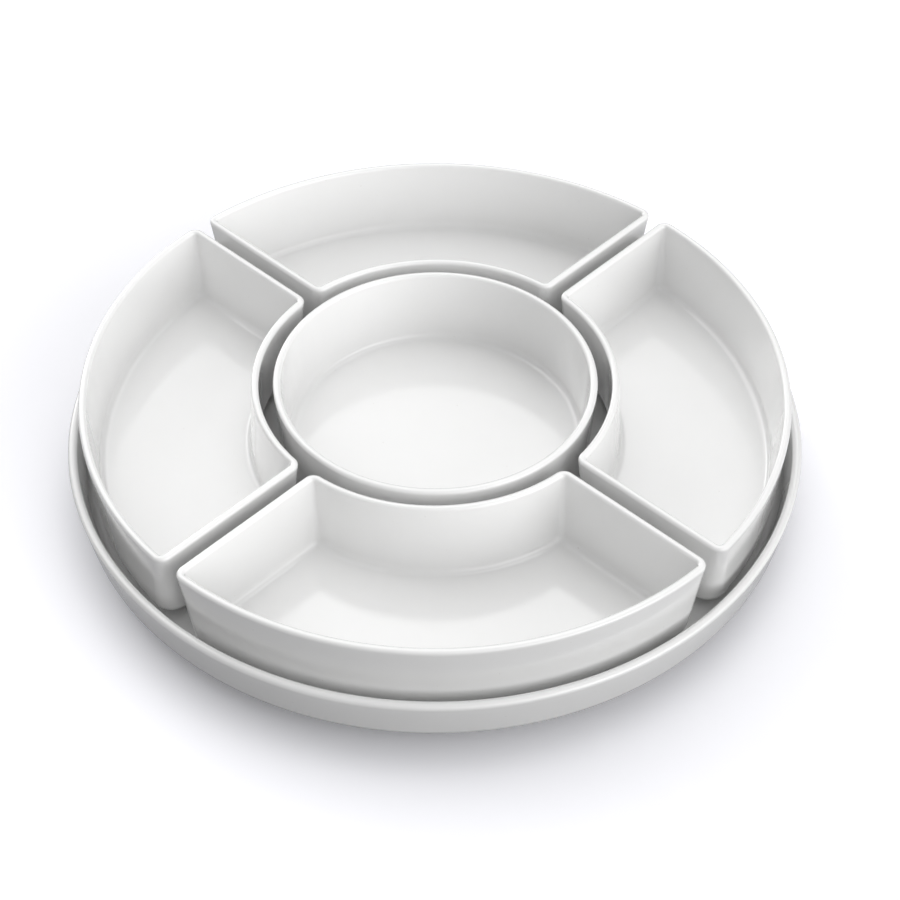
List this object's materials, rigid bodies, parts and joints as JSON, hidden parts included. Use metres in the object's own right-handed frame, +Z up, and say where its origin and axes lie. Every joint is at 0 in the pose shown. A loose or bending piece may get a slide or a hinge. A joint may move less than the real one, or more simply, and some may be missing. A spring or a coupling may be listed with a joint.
{
  "type": "chip and dip server",
  "caption": "Round porcelain serving tray on a low ring turntable, holding a round dip bowl ringed by lift-out sector bowls.",
  "frame": {"origin": "on the table under the centre of the tray, level with the bottom of the rubber feet", "axes": "+Z up along the turning axis; -Y towards the user; X and Y through the middles of the sector bowls"},
  "size_m": [0.3298, 0.3298, 0.06],
  "materials": {
    "tray_glaze": "glossy white glaze over porcelain; bare biscuit on the foot ring",
    "bowl_glaze": "glossy white glaze over porcelain; bare biscuit on the foot ring",
    "ring_metal": "satin extruded aluminium",
    "plug_steel": "plain turned steel",
    "ball_steel": "polished bearing steel",
    "cage_plastic": "natural moulded nylon",
    "feet_rubber": "matt black rubber",
    "bond_pad": "translucent white silicone adhesive"
  },
  "bodies": {
    "base": {"base_ring": "ring_metal", "rubber_feet": "feet_rubber", "ball_loading_plug": "plug_steel"},
    "ball_race": {"bearing_balls": "ball_steel", "ball_cage": "cage_plastic"},
    "tray": {"tray": "tray_glaze", "top_ring": "ring_metal", "adhesive_pads": "bond_pad"},
    "dip_bowl": {"dip_bowl": "bowl_glaze"},
    "section_bowl_right": {"section_bowl_right": "bowl_glaze"},
    "section_bowl_back": {"section_bowl_back": "bowl_glaze"},
    "section_bowl_left": {"section_bowl_left": "bowl_glaze"},
    "section_bowl_front": {"section_bowl_front": "bowl_glaze"}
  },
  "joints": [
    {"name": "tray_turn", "type": "hinge", "parent": "base", "child": "tray", "pos_m": [0, 0, 0.00555], "axis": [0, 0, 1], "continuous": true},
    {"name": "ball_race_turn", "type": "hinge", "parent": "base", "child": "ball_race", "pos_m": [0, 0, 0.00555], "axis": [0, 0, 1], "continuous": true},
    {"name": "dip_bowl_lift", "type": "slide", "parent": "tray", "child": "dip_bowl", "axis": [0, 0, 1], "range_m": [0, 0.1]},
    {"name": "section_bowl_right_lift", "type": "slide", "parent": "tray", "child": "section_bowl_right", "axis": [0, 0, 1], "range_m": [0, 0.1]},
    {"name": "section_bowl_back_lift", "type": "slide", "parent": "tray", "child": "section_bowl_back", "axis": [0, 0, 1], "range_m": [0, 0.1]},
    {"name": "section_bowl_left_lift", "type": "slide", "parent": "tray", "child": "section_bowl_left", "axis": [0, 0, 1], "range_m": [0, 0.1]},
    {"name": "section_bowl_front_lift", "type": "slide", "parent": "tray", "child": "section_bowl_front", "axis": [0, 0, 1], "range_m": [0, 0.1]}
  ],
  "couplings": [
    {"joint": "ball_race_turn", "follows": "tray_turn", "ratio": 0.5}
  ]
}
